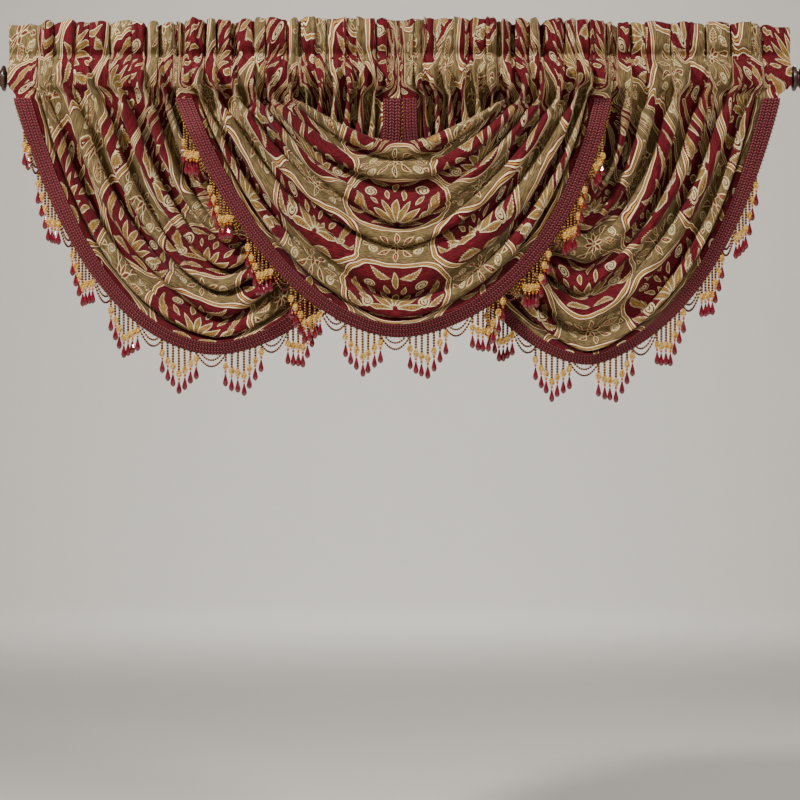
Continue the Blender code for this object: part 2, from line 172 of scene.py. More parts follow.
# Creases laid on each swag's left and right half: line across the folds, half its width in
# lines, place along the half from header to middle, half its length, height (below zero a trough),
# and slant.
CREASES = {
    "centre": ((
        (5.1, 0.35, 0.42, 0.20, -4.0, 1.2),
        (8.4, 0.40, 0.62, 0.16, 3.0, -1.5),
        (13.6, 0.45, 0.50, 0.22, -4.0, 1.0),
        (17.4, 0.40, 0.72, 0.18, 2.5, 1.4),
    ), (
        (4.6, 0.35, 0.50, 0.18, 3.0, -1.0),
        (7.6, 0.35, 0.38, 0.20, -4.0, 1.6),
        (13.9, 0.50, 0.64, 0.20, 3.5, -1.2),
        (16.6, 0.35, 0.46, 0.22, -3.0, 0.8),
    )),
    "left": ((
        (4.4, 0.35, 0.40, 0.20, -3.5, 1.0),
        (7.7, 0.40, 0.66, 0.18, 3.0, -1.4),
        (10.6, 0.35, 0.34, 0.18, -3.5, 1.2),
        (14.2, 0.45, 0.58, 0.20, 3.5, -1.0),
    ), (
        (9.2, 0.40, 0.76, 0.14, -3.0, 1.0),
        (16.5, 0.40, 0.82, 0.14, 3.0, -1.0),
    )),
    "right": ((
        (8.6, 0.40, 0.78, 0.14, 3.0, 1.0),
        (15.4, 0.40, 0.84, 0.12, -3.0, 1.0),
    ), (
        (5.4, 0.35, 0.46, 0.20, -3.5, -1.0),
        (8.1, 0.40, 0.62, 0.18, 3.0, 1.3),
        (11.5, 0.35, 0.40, 0.18, -3.5, 1.0),
        (14.4, 0.45, 0.60, 0.20, 3.5, -1.2),
    )),
}

# Lines across the folds. The cloth is flat from BAND on, under the braid.
LINES = 21
LAST = LINES - 1.0
BAND = 18.0
PER_LINE = 9
ALONG = 165
TUBE_TURN = 2.36
CREASE_DEPTH = 15.0
CREASE_LIFT = 9.0
GATHER = 7.0
SLACK = 1.8
BRAID_LAP = 5.0
EDGE_APART = 8.0
HEAD_ROLL = 1.9
HEAD_HOLLOW = 6.0

# Relief of a header: the arms' rolls and the fullness of the pocket, puckers under and over the
# stitch line, lobes and slots of the ruffle, dips of its rim, and the cloth hidden in a crease.
POCKET_ROLL = 25.0
POCKET_FULL = 11.0
POCKET_PUCKER = 9.0
RUFFLE_PUCKER = 8.0
RUFFLE_LOBE = 40.0
RUFFLE_SLOT = 12.0
RIM_DIP = 19.0
CREASE_HIDES = 31.0

# Rounded lobes of the gathered cloth, for each swag's left and right half, and their unevenness.
LOBES = {"centre": (7.4, 7.2), "left": (9.3, 6.3), "right": (6.4, 9.2)}
LOBE_SHIFT = {"centre": 0.0, "left": 1.9, "right": 3.7}

# How much deeper the hollows between the rolls are than in the solids.
HOLLOW = {"centre": 14.0, "left": 20.0, "right": 20.0}

# How far the rolls of each half stand out, against the solids'.
ROLL = {"centre": (1.95, 1.95), "left": (2.1, 1.2), "right": (1.2, 2.1)}

# How far the cloth leans out under the headers.
LEAN = {"centre": 6.0, "left": 24.0, "right": 24.0}


def ease(t):
    t = np.clip(t, 0.0, 1.0)
    return t * t * (3.0 - 2.0 * t)


def mix(a, b, t):
    return a + (b - a) * t


def curve(a, b, c, t):
    return (1 - t) ** 2 * a + 2 * t * (1 - t) * b + t * t * c


def bell(x):
    return np.exp(-(x**2))


def line_table(swag):
    """A row for each line across the folds: both ends, lowest point, reach and bends."""
    folds = swag["folds"]
    last = len(folds) - 1
    lines = []

    def line(xl, xr, xc, zc, yc, out, shape_a, shape_b):
        bends = [mix(a, b, 0.5) for a, b in zip(shape_a[9:13], shape_b[9:13])]
        lines.append([xl, xr, xc, zc, yc, out] + bends)

    first, inner, facing = folds[0], swag["inner"], swag["facing"]
    edge = (0,) * 9 + facing[2:]
    line(inner[0], inner[1], first[3], facing[0], facing[1], 0.1, edge, edge)
    for k in range(last):
        fold, under = folds[k], folds[k + 1]
        above = folds[k - 1] if k else first
        side_l = above[1] if k else inner[0]
        side_r = above[2] if k else inner[1]
        under_l = under[1] + TRIM_HALF if k + 1 == last else under[1]
        under_r = under[2] - TRIM_HALF if k + 1 == last else under[2]
        back = above[8] if k else fold[7] + 30.0
        line(mix(fold[1], side_l, 0.42), mix(fold[2], side_r, 0.42), fold[3], fold[4],
             mix(back, fold[7], 0.5), 0.5, above, fold)
        line(fold[1], fold[2], fold[3], fold[5], fold[7], 1.0, fold, fold)
        line(mix(fold[1], under_l, 0.32), mix(fold[2], under_r, 0.32), fold[3], fold[6],
             fold[8], 0.0, fold, under)
    hem = folds[last]
    line(hem[1] + TRIM_HALF, hem[2] - TRIM_HALF, hem[3], hem[4], hem[7], 0.55, hem, hem)
    line(hem[1] - TRIM_HALF, hem[2] + TRIM_HALF, hem[3], hem[5], hem[8], 0.4, hem, hem)
    return np.array(lines, float)


def fine_lines(table):
    """The table's rows with finer ones between: round noses, sharp creases."""
    place = np.linspace(0.0, LINES - 1.0, (LINES - 1) * PER_LINE + 1)
    away = np.where(place < 2, (place - 2) / 2.0, ((place - 0.5) % 3.0 - 1.5) / 1.5)
    drawn = np.where(place < 2, 2.0, 1.5) * (np.sign(away) * np.abs(away) ** 1.5 - away)
    place = np.where(place < BAND, place + drawn, place)
    base = np.minimum(place.astype(int), LINES - 2)
    s = (place - base)[:, None]
    p0 = table[np.maximum(base - 1, 0)]
    p1, p2 = table[base], table[base + 1]
    p3 = table[np.minimum(base + 2, LINES - 1)]
    tension = 0.42
    m1, m2 = tension * (p2 - p0), tension * (p3 - p1)
    fine = (2 * s**3 - 3 * s**2 + 1) * p1 + (s**3 - 2 * s**2 + s) * m1
    fine += (-2 * s**3 + 3 * s**2) * p2 + (s**3 - s**2) * m2
    kind = (base % 3)[:, None]
    rise = np.sin(math.pi * s / 6) / 0.5
    crown = (np.sin(math.pi / 6 + math.pi * s / 3) - 0.5) / 0.5
    fall = 1 - np.cos(math.pi * s / 2)
    share = np.where(kind == 0, rise, np.where(kind == 1, crown, fall))
    flat = (base >= LINES - 3)[:, None]
    share = np.where(flat, ease(s), share)
    fine[:, 4:5] = mix(p1, p2, share)[:, 4:5]
    fine[:, 5] = roll(place)
    return place, fine


def from_crest(place):
    """Signed distance from a roll's crest, half its width, and the turn from crest to neck."""
    away = np.where(place < 2, place - 2, (place - 0.5) % 3.0 - 1.5)
    half = np.where(away < 0, 0.58, 0.48)
    turn = np.clip(np.abs(away) / half, 0.0, 1.0) * TUBE_TURN
    return away, half, turn


def roll(place):
    """How far a line stands out along the arms: narrow round tubes with wide hollows between."""
    turn = from_crest(place)[2]
    tube = (np.cos(turn) - math.cos(TUBE_TURN)) / (1 - math.cos(TUBE_TURN))
    band = np.interp(place, (BAND, 18.4, 19.0, 20.0), (0.0, 0.35, 0.55, 0.4))
    return np.where(place < BAND, tube, band)


def overhang(place):
    """Sideways push that rounds a roll into a tube with a narrower neck, in lines."""
    away, half, turn = from_crest(place)
    push = np.sin(turn) / math.sin(TUBE_TURN) * half - turn / TUBE_TURN * half
    return np.where(place < BAND, np.sign(away) * push, 0.0)


def lobe_phase(place, which, side):
    """Whole numbers are creases of the gathered cloth, halves are crests."""
    shift = LOBE_SHIFT[which] + 0.8 * side
    phase = place * LOBES[which][side] / LAST
    return phase + 0.17 * np.sin(0.9 * place + shift) + 0.07 * np.sin(2.6 * place + 2 * shift)


def gather(place, which, side):
    """Lobes of the gathered cloth, from 0 in a sharp crease to 1 on a rounded crest."""
    shift = LOBE_SHIFT[which] + 0.8 * side
    phase = lobe_phase(place, which, side)
    size = 0.85 + 0.15 * np.sin(1.9 * place + shift)
    lobe = np.abs(np.sin(math.pi * phase)) ** 0.6
    pleat = np.abs(np.sin(math.pi * (2.4 * phase + 0.3 * np.sin(place + shift)))) ** 0.8
    return size * (0.8 * lobe + 0.2 * pleat)


def swag_surface(which, side, t, place, fine):
    """Points of one half of the cloth, by [along the folds, across the folds]."""
    swag = SWAGS[which]
    t = np.asarray(t, float)[:, None]
    xc, zc, yc, out = fine[:, 2:6].T
    x0 = fine[:, side]
    share_x, share_z = fine[:, 6 + 2 * side:8 + 2 * side].T
    outer, inner = swag["head_y"][0], swag["head_y"][1]
    if side:
        inner, outer = swag["head_y"][2], swag["head_y"][3]
    z0 = POCKET_Z - HEAD_GAP
    bend_x = x0 + share_x * (xc - x0)
    bend_z = z0 + share_z * (zc - z0)
    near = 1.0 - ease(t / swag["reach"])
    low = ease((t - 0.45) / 0.55)
    head = mix(inner, outer, place / LAST) - swag["swing"][0] * HEAD_ROLL * out
    head = head + HEAD_HOLLOW * (1 - out)
    head = head - LEAN[which] * ease((place - 0.5) / 2.5) * (1 - ease(t / 0.22))
    arm = swag["arm_y"][side] - swag["swing"][1] * ROLL[which][side] * out
    arm = arm + HOLLOW[which] * (1 - out) * (place < BAND)
    x = curve(x0, bend_x, xc, t)
    plumb = swag["plumb"][side]
    if plumb:
        x = mix(x0, x, ease(t / plumb))
    soft = swag["round"]
    lowest = curve(z0, bend_z, zc, 1.0 - soft)
    start = curve(z0, bend_z, zc, 1.0 - math.hypot(1.0, soft))
    round_t = 1.0 - np.hypot(1.0 - t, soft)
    z = z0 + (curve(z0, bend_z, zc, round_t) - start) * (zc - z0) / (lowest - start)
    y = near * head + low * yc + (1 - near - low) * arm
    push = overhang(place) * ease(t / 0.1) * (1 - low)
    step_x = np.gradient(x, place, axis=1)
    step_z = np.gradient(z, place, axis=1)
    x = x + push * step_x
    z = z + push * step_z

    # The side swags' inner edges: the left braid laps the right one, and the necklines stay apart.
    if which == "left" and side == 1:
        lapped = ease((place - 17.0) / 2.0) * (1 - ease((t - 0.3) / 0.3))
        x = x + BRAID_LAP * lapped
        y = y - BRAID_LAP * lapped
    if which != "centre" and side == (1 if which == "left" else 0):
        away = EDGE_APART * ease(t / 0.03) * (1 - ease(place / 1.5))
        x = x - away if which == "left" else x + away
    from_crease = (place + 1.5) % 3.0 - 1.5
    inside = (place > 1.5) & (place < LAST - 1.2)
    crease = bell(from_crease / 0.36) * inside
    middle = ease((t - 0.35) / 0.4)
    uneven = 0.8 + 0.2 * np.sin(4 * t + place)
    y = y + CREASE_DEPTH * crease * middle * uneven
    z = z + CREASE_LIFT * crease * middle * uneven
    edge = ease((LAST - 0.6 - place) / 1.4) * ease(place / 0.8)
    fade = 1.0 - ease(t / 0.34)
    y = y - GATHER * ((gather(place, which, side) - 0.5) * edge) * fade
    for line, wide, at, long, height, slant in CREASES[which][side]:
        across = (place - line - slant * (t - at)) / wide
        y = y - height * np.exp(-(across**2) - ((t - at) / long) ** 2)
    slack = SLACK * np.sin(9.0 * t + 0.9 * place + side) * ease(t / 0.3) * edge
    return np.stack([x, y - slack, z], axis=2)


def lengths(points, axis=0):
    """Distances along one direction of a grid, or along a path."""
    total = np.cumsum(np.linalg.norm(np.diff(points, axis=axis), axis=-1), axis=axis)
    return np.concatenate([0.0 * np.take(total, [0], axis=axis), total], axis=axis)


def grid_faces(rows, cols):
    a = np.arange(rows * cols).reshape(rows, cols)
    quads = np.stack([a[:-1, :-1], a[:-1, 1:], a[1:, 1:], a[1:, :-1]], axis=-1)
    return quads.reshape(-1, 4)


def add_mesh(name, points, faces, looks, uv=None, pick=None):
    """An object from points in millimetres, with cloth coordinates in metres."""
    mesh = bpy.data.meshes.new(name)
    mesh.from_pydata((np.asarray(points, float) * MM).tolist(), [], [list(f) for f in faces])
    if uv is not None:
        layer = mesh.uv_layers.new(name="cloth")
        corner = np.zeros(len(mesh.loops), np.int32)
        mesh.loops.foreach_get("vertex_index", corner)
        layer.data.foreach_set("uv", (np.asarray(uv, float) * MM)[corner].astype(np.float32).ravel())
    for look in looks:
        mesh.materials.append(look)
    if pick is not None:
        mesh.polygons.foreach_set("material_index", np.asarray(pick, np.int32))
    mesh.polygons.foreach_set("use_smooth", [True] * len(mesh.polygons))
    mesh.update()
    item = bpy.data.objects.new(name, mesh)
    bpy.context.scene.collection.objects.link(item)
    return item


def feed(value, slot):
    """Give a node's input a Number, another node's output, or a plain value."""
    if isinstance(value, Number):
        value = value.socket
    if isinstance(value, bpy.types.NodeSocket):
        slot.id_data.links.new(value, slot)
    else:
        slot.default_value = value


def operator(operation):
    """A method that adds one step of arithmetic."""
    return lambda self, *others: self.do(operation, *others)


class Number:
    """A value in a material's node tree, so that patterns are written as sums."""

    def __init__(self, socket):
        self.socket = socket

    def do(self, operation, *others):
        node = self.socket.id_data.nodes.new("ShaderNodeMath")
        node.operation = operation
        for slot, value in zip(node.inputs, (self,) + others):
            feed(value, slot)
        return Number(node.outputs[0])

    __add__ = operator("ADD")
    __sub__ = operator("SUBTRACT")
    __mul__ = operator("MULTIPLY")
    below = operator("LESS_THAN")
    above = operator("GREATER_THAN")
    size = operator("ABSOLUTE")
    least = operator("MINIMUM")
    most = operator("MAXIMUM")

    def fit(self, low, high, to_low=0.0, to_high=1.0):
        node = self.socket.id_data.nodes.new("ShaderNodeMapRange")
        node.inputs["From Min"].default_value = low
        node.inputs["From Max"].default_value = high
        node.inputs["To Min"].default_value = to_low
        node.inputs["To Max"].default_value = to_high
        feed(self, node.inputs["Value"])
        return Number(node.outputs["Result"])


class Look:
    """A Principled material with helpers for its nodes."""

    def __init__(self, name, roughness, **plain):
        self.material = bpy.data.materials.new(name)
        self.material.use_nodes = True
        self.shader = self.material.node_tree.nodes["Principled BSDF"]
        self.shader.inputs["Roughness"].default_value = roughness
        for key, value in plain.items():
            self.shader.inputs[key.replace("_", " ")].default_value = value

    def node(self, kind, inputs=None, **settings):
        made = self.material.node_tree.nodes.new(kind)
        for key, value in settings.items():
            setattr(made, key, value)
        for key, value in (inputs or {}).items():
            feed(value, made.inputs[key])
        return made

    def split(self, vector):
        """The first two parts of a vector."""
        parts = self.node("ShaderNodeSeparateXYZ", {0: vector})
        return Number(parts.outputs[0]), Number(parts.outputs[1])

    def cloth(self):
        """Cloth coordinates in millimetres: along the folds, and across them."""
        along, across = self.split(self.node("ShaderNodeUVMap", uv_map="cloth").outputs[0])
        return along * 1000.0, across * 1000.0

    def vector(self, x, y):
        return self.node("ShaderNodeCombineXYZ", {0: x, 1: y}).outputs[0]

    def noise(self, vector, scale, detail):
        inputs = {"Scale": scale, "Detail": detail, "Vector": vector}
        return Number(self.node("ShaderNodeTexNoise", inputs).outputs["Fac"])

    def object_noise(self, scale, detail):
        return self.noise(self.node("ShaderNodeTexCoord").outputs["Object"], scale, detail)

    def blend(self, share, first, second, kind="MIX"):
        """A colour between two: each is a colour or another blend."""
        inputs = {0: share, 6: first, 7: second}
        return self.node("ShaderNodeMix", inputs, data_type="RGBA", blend_type=kind).outputs[2]

    def bands(self, value, low, high, stops):
        """A colour in steps: stops are (place, colour) from low to high."""
        ramp = self.node("ShaderNodeValToRGB")
        ramp.color_ramp.interpolation = "CONSTANT"
        while len(ramp.color_ramp.elements) < len(stops):
            ramp.color_ramp.elements.new(0.5)
        for element, (place, colour) in zip(ramp.color_ramp.elements, stops):
            element.position = (place - low) / (high - low)
            element.color = colour
        feed(value.fit(low, high), ramp.inputs[0])
        return ramp.outputs[0]

    def bump(self, height, distance, strength):
        inputs = {"Distance": distance * MM, "Strength": strength, "Height": height}
        feed(self.node("ShaderNodeBump", inputs).outputs[0], self.shader.inputs["Normal"])

    def colour(self, value):
        feed(value, self.shader.inputs["Base Color"])

    def rough(self, value):
        feed(value, self.shader.inputs["Roughness"])


BURGUNDY = (0.165, 0.008, 0.016, 1.0)
DARK_RED = (0.055, 0.002, 0.005, 1.0)
TAN = (0.27, 0.19, 0.082, 1.0)
OLIVE = (0.085, 0.055, 0.020, 1.0)
GOLD = (0.52, 0.32, 0.07, 1.0)
IVORY = (0.90, 0.78, 0.46, 1.0)
OCHRE = (0.28, 0.11, 0.012, 1.0)
LINE_RED = (0.08, 0.002, 0.004, 1.0)

# The repeat: medallions on the corners and in the middle of cells twice this wide and high.
CELL_X = 230.0
CELL_Y = 165.0
MEDALLION = (152.0, 115.0)

# The palmette on burgundy, in half a medallion. Leaves: centre x, centre y, angle, half length,
# half width and curl. Fans of petals: centre x, centre y, half step and first angle in degrees,
# distance, half length, half width and spread in degrees. Volutes: centre x, centre y, radius, turn.
PALMETTE = (
    (0.0, 64.0, 90.0, 21.0, 8.5, 0.0),
    (99.0, 6.0, 66.0, 37.0, 10.0, -0.5),
    (40.0, 73.0, 20.0, 27.0, 7.5, -0.4),
    (36.0, -76.0, -8.0, 30.0, 7.5, 0.4),
    (106.0, -46.0, 30.0, 23.0, 7.0, -0.5),
)
PALMETTE_FANS = (
    (0.0, -46.0, 15.0, 0.0, 37.0, 31.0, 8.5, 100.0),
    (0.0, -46.0, 15.0, 15.0, 82.0, 17.0, 6.5, 80.0),
)
PALMETTE_VOLUTES = (
    (74.0, -36.0, 17.0, 1.0),
    (66.0, 44.0, 15.0, -1.0),
)
# The sprig on tan, in a quarter of it.
SPRIG = (
    (50.0, 0.0, 0.0, 27.0, 8.5, 0.0),
    (0.0, 38.0, 90.0, 15.0, 6.5, 0.0),
    (27.0, 32.0, 46.0, 17.0, 6.0, 0.5),
    (82.0, 15.0, -30.0, 16.0, 5.5, 0.4),
)
SPRIG_FANS = (
    (0.0, 0.0, 22.5, 0.0, 15.0, 12.0, 5.5, 200.0),
)
SPRIG_VOLUTES = (
    (54.0, 26.0, 12.0, 1.0),
)
# The leaf in the narrow tan between two medallions.
VINE = (
    (114.0, 84.0, -38.0, 22.0, 6.5, 0.0),
)


def leaf(look, point, row):
    """Below zero inside a leaf with pointed ends, in millimetres."""
    cx, cy, turn, long, wide, curl = row
    inputs = {"Location": (cx, cy, 0.0), "Rotation": (0.0, 0.0, math.radians(turn)),
              "Scale": (long, wide, 1.0), "Vector": point}
    x, y = look.split(look.node("ShaderNodeMapping", inputs, vector_type="TEXTURE").outputs[0])
    square = x * x
    if curl:
        y = square.do("MULTIPLY_ADD", curl * long / wide * 0.6, y)
    side = y.size()
    if long > 22.0:
        tooth = (side * 0.7 - x).do("PINGPONG", 4.2 / long)
        side = tooth.do("MULTIPLY_ADD", 0.11 * long, side) - 0.22
    return (side + square - 1.0) * wide


def from_centre(look, point, cx, cy):
    """Distance from a point, and the offsets to it."""
    inputs = {0: point, 1: (cx, cy, 0.0)}
    offset = look.node("ShaderNodeVectorMath", inputs, operation="SUBTRACT").outputs[0]
    size = look.node("ShaderNodeVectorMath", {0: offset}, operation="LENGTH")
    dx, dy = look.split(offset)
    return Number(size.outputs["Value"]), dx, dy


def fan(look, point, row):
    """Petals around a point, mirrored left and right of the upright."""
    cx, cy, half_step, first, away, long, wide, spread = row
    reach, dx, dy = from_centre(look, point, cx, cy)
    angle = dx.size().do("ARCTAN2", dy)
    beside = (angle + math.radians(first)).do("PINGPONG", math.radians(half_step))
    out = (reach - away) * (1 / long)
    petal = (beside * reach * (1 / wide) + out * out - 1.0) * wide
    return petal.most((angle - math.radians(spread)) * reach)


def volute(look, point, row):
    """A cord wound into a scroll."""
    cx, cy, radius, turn = row
    pitch = 7.6
    reach, dx, dy = from_centre(look, point, cx, cy)
    wind = reach * (1 / pitch) + dy.do("ARCTAN2", dx) * (turn / TURN)
    cord = ((wind.do("FRACT") - 0.5).size() - 0.27) * pitch
    return cord.most(reach - radius)


def figure_of(look, point, leaves, fans, volutes):
    """The nearest of all leaves, petals and scrolls."""
    found = None
    for shape, rows in ((leaf, leaves), (fan, fans), (volute, volutes)):
        for row in rows:
            one = shape(look, point, row)
            found = one if found is None else found.least(one)
    return found


def damask():
    """Woven cloth: burgundy medallions on tan, with leaves outlined in ivory and gold."""
    look = Look("damask", 0.78, Sheen_Weight=0.04, Sheen_Roughness=0.5, Specular_IOR_Level=0.15)
    along, across = look.cloth()
    drift = look.noise(look.vector(along * 0.015, across * 0.02), 1.0, 1.0)
    along_w = drift.do("MULTIPLY_ADD", 22.0, along)
    across_w = drift.do("MULTIPLY_ADD", -14.0, across)

    slope = CELL_Y / CELL_X
    ax = along_w.do("PINGPONG", CELL_X)
    ay = across_w.do("WRAP", CELL_Y, -CELL_Y)
    bx = (ax * -1.0) + CELL_X
    by = (across_w + CELL_Y).do("WRAP", CELL_Y, -CELL_Y)
    in_a = (ax * slope + ay.size()).below(bx * slope + by.size())
    out_a = in_a * -1.0 + 1.0
    x = ax * in_a + bx * out_a
    y = ay * in_a + by * out_a
    in_c = (bx * slope + ay.size()).below(ax * slope + by.size())
    out_c = in_c * -1.0 + 1.0
    sx = bx * in_c + ax * out_c
    sy = ay * in_c + by * out_c

    nx, ny = x * (1 / MEDALLION[0]), y * (1 / MEDALLION[1])
    reach = (nx * nx + ny * ny).do("SQRT")
    lobes = (ny.do("ARCTAN2", nx) * 4.0).do("COSINE")
    edge = (lobes.do("MULTIPLY_ADD", 0.045, 1.0) * reach - 1.0) * 120.0

    mottled = look.noise(look.vector(along * 0.03, across * 0.12), 1.0, 3.0)
    thread = look.noise(look.vector(along * 0.055, across * 0.42), 1.0, 3.0)
    slub = look.noise(look.vector(along * 0.4, across * 0.4), 1.0, 2.0)
    red = look.blend(thread.fit(0.38, 0.66), BURGUNDY, DARK_RED)
    dull = look.blend(thread.fit(0.36, 0.66), TAN, OLIVE)
    shade = look.blend(mottled.fit(0.25, 0.75), (0.72, 0.72, 0.72, 1.0), (1.15, 1.13, 1.10, 1.0))
    in_medallion = edge.below(-13.0)
    ground = look.blend(in_medallion, dull, red)
    lines = look.bands(edge, -20.0, 6.0, (
        (-20.0, DARK_RED), (-13.0, IVORY), (-10.4, BURGUNDY), (-8.8, GOLD), (-6.4, BURGUNDY),
        (-4.6, IVORY), (-2.0, BURGUNDY),
    ))
    on_lines = edge.above(-13.0) * edge.below(-0.2)
    ground = look.blend(on_lines, ground, lines)

    inside = figure_of(look, look.vector(x, y), PALMETTE, PALMETTE_FANS, PALMETTE_VOLUTES)
    inside = inside.most(edge + 15.5)
    outside = figure_of(look, look.vector(sx, sy.size()), SPRIG, SPRIG_FANS, SPRIG_VOLUTES)
    outside = outside.least(figure_of(look, look.vector(x, y.size()), VINE, (), ()))
    outside = outside.most(edge * -1.0 + 2.5)
    figure = inside.least(outside) + (slub - 0.5) * 2.2

    on_red = look.bands(figure, -10.0, 2.0, (
        (-10.0, GOLD), (-7.0, OCHRE), (-6.0, TAN), (-4.2, GOLD), (-3.4, TAN), (-1.5, IVORY),
        (0.1, LINE_RED),
    ))
    on_tan = look.bands(figure, -10.0, 2.0, (
        (-10.0, GOLD), (-6.6, IVORY), (-5.6, BURGUNDY), (-3.4, OCHRE), (-2.6, TAN), (-1.4, IVORY),
        (0.1, OCHRE),
    ))
    motif = look.blend(in_medallion, on_tan, on_red)
    motif = look.blend(thread.fit(0.45, 0.75, 0.0, 0.45), motif, OCHRE)
    vein = ((x - y.size()) * (1 / 6.5) + figure * 0.16).do("FRACT")
    motif = look.blend(vein.above(0.62) * figure.below(-2.4) * 0.62, motif, LINE_RED)
    is_figure = figure.below(0.9)
    cloth = look.blend(is_figure, ground, motif)
    look.colour(look.blend(1.0, cloth, shade, "MULTIPLY"))

    ribs = (across * (TURN / 1.6)).do("SINE") * 0.25
    look.bump(thread * 1.2 + slub * 0.8 + ribs + is_figure * 0.35, 0.55, 0.8)
    look.rough(is_figure.fit(0.0, 1.0, 0.82, 0.55))
    return look.material


def braid():
    """Dark woven braid with three ribs, painted shade in the grooves between them, and small paler
    flecks.
    """
    look = Look("braid", 0.8, Sheen_Weight=0.05, Sheen_Roughness=0.5, Specular_IOR_Level=0.2)
    along, across = look.cloth()
    rib = (across * (3.0 / 42.0)).do("FRACT")
    chevron = (along * (1 / 7.4) + (rib - 0.5).size() * 1.5).do("FRACT")
    row = (across * (1 / 7.0)).do("FRACT")
    fleck = (chevron - 0.5).size().below(0.24) * (row - 0.5).size().below(0.34)
    wear = look.noise(look.vector(along * 0.22, across * 0.3), 1.0, 3.0)
    base = look.blend(wear.fit(0.3, 0.7), (0.042, 0.0012, 0.005, 1.0), (0.11, 0.003, 0.012, 1.0))
    paler = look.blend(wear.fit(0.35, 0.65), (0.46, 0.16, 0.15, 1.0), (0.27, 0.045, 0.055, 1.0))
    # Near-black along the grooves where the ribs meet: painted shade. The same mask also sinks the
    # bump there.
    shaded_groove = (rib - 0.5).size().above(0.42)
    base = look.blend(shaded_groove, base, (0.012, 0.001, 0.002, 1.0))
    look.colour(look.blend(fleck * wear.fit(0.32, 0.62, 0.1, 1.0), base, paler))
    twist = (chevron * TURN).do("SINE") * 0.5
    look.bump(twist + fleck * 0.8 + wear * 0.4 - shaded_groove * 1.5, 0.8, 1.0)
    return look.material


def glossy(name, colour, other, roughness, **plain):
    """Beads: a gloss with a little variation from one to the next."""
    look = Look(name, roughness, **plain)
    change = look.object_noise(160.0, 1.0)
    look.colour(look.blend(change.fit(0.35, 0.65), colour, other))
    fine = look.object_noise(900.0, 1.0)
    look.rough(fine.fit(0.3, 0.7, roughness * 0.7, roughness * 1.4))
    return look.material


def wood():
    """Dark lacquered wood with a grain along the rod."""
    look = Look("wood", 0.34, Coat_Weight=0.35, Coat_Roughness=0.2)
    place = look.node("ShaderNodeTexCoord").outputs["Object"]
    stretch = look.node("ShaderNodeMapping", {"Scale": (6.0, 90.0, 90.0), "Vector": place})
    grain = look.noise(stretch.outputs[0], 1.0, 5.0)
    worn = look.object_noise(30.0, 3.0)
    colour = look.blend(grain.fit(0.3, 0.7), (0.030, 0.014, 0.010, 1.0), (0.085, 0.042, 0.028, 1.0))
    look.colour(look.blend(worn.fit(0.55, 0.75, 0.0, 0.5), colour, (0.13, 0.07, 0.045, 1.0)))
    look.bump(grain, 0.3, 0.4)
    look.rough(worn.fit(0.3, 0.7, 0.26, 0.44))
    return look.material


DAMASK = damask()
BRAID = braid()
WOOD = wood()
RUBY = glossy("ruby_drops", (0.21, 0.010, 0.024, 1.0), (0.11, 0.005, 0.012, 1.0), 0.09,
              Coat_Weight=0.8, Coat_Roughness=0.03)
SEEDS = glossy("seed_beads", (0.085, 0.001, 0.006, 1.0), (0.04, 0.001, 0.003, 1.0), 0.35,
               Specular_IOR_Level=0.3)
GOLD_BEADS = glossy("gold_beads", (0.74, 0.42, 0.05, 1.0), (0.52, 0.22, 0.02, 1.0), 0.3, Metallic=0.3)
PALE_BEADS = glossy("pale_beads", (0.84, 0.60, 0.22, 1.0), (0.66, 0.36, 0.07, 1.0), 0.3,
                    Specular_IOR_Level=0.35)
AMBER = glossy("amber_beads", (0.62, 0.17, 0.004, 1.0), (0.45, 0.09, 0.002, 1.0), 0.15)
BEAD_LOOKS = (RUBY, SEEDS, GOLD_BEADS, PALE_BEADS, AMBER)
RUBY_AT, SEED_AT, GOLD_AT, PALE_AT, AMBER_AT = range(5)


def seat(item, node):
    """Tie a piece to the frame in place of its solid."""
    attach(item, "root")
    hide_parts(node)


def declare(item, node):
    """Seat a sheet in place of its solid."""
    seat(item, node)


def swag_grid(which):
    """The whole cloth, and its coordinates along and across the folds."""
    place, fine = fine_lines(line_table(SWAGS[which]))
    t = np.linspace(0.0, 1.0, ALONG + 1)
    left = swag_surface(which, 0, t, place, fine)
    right = swag_surface(which, 1, t[::-1], place, fine)
    points = np.concatenate([left, right[1:]])
    along = lengths(points)
    along = along - along[ALONG]
    across = lengths(points, 1)
    hem_line = (LINES - 2) * PER_LINE
    across = across - across[:, hem_line][:, None]
    across = mix(across, across[ALONG], 0.45)
    shift = SWAGS[which]["motif"]
    uv = np.stack([along + shift[0], -across + shift[1]], axis=2)
    return place, fine, points, uv


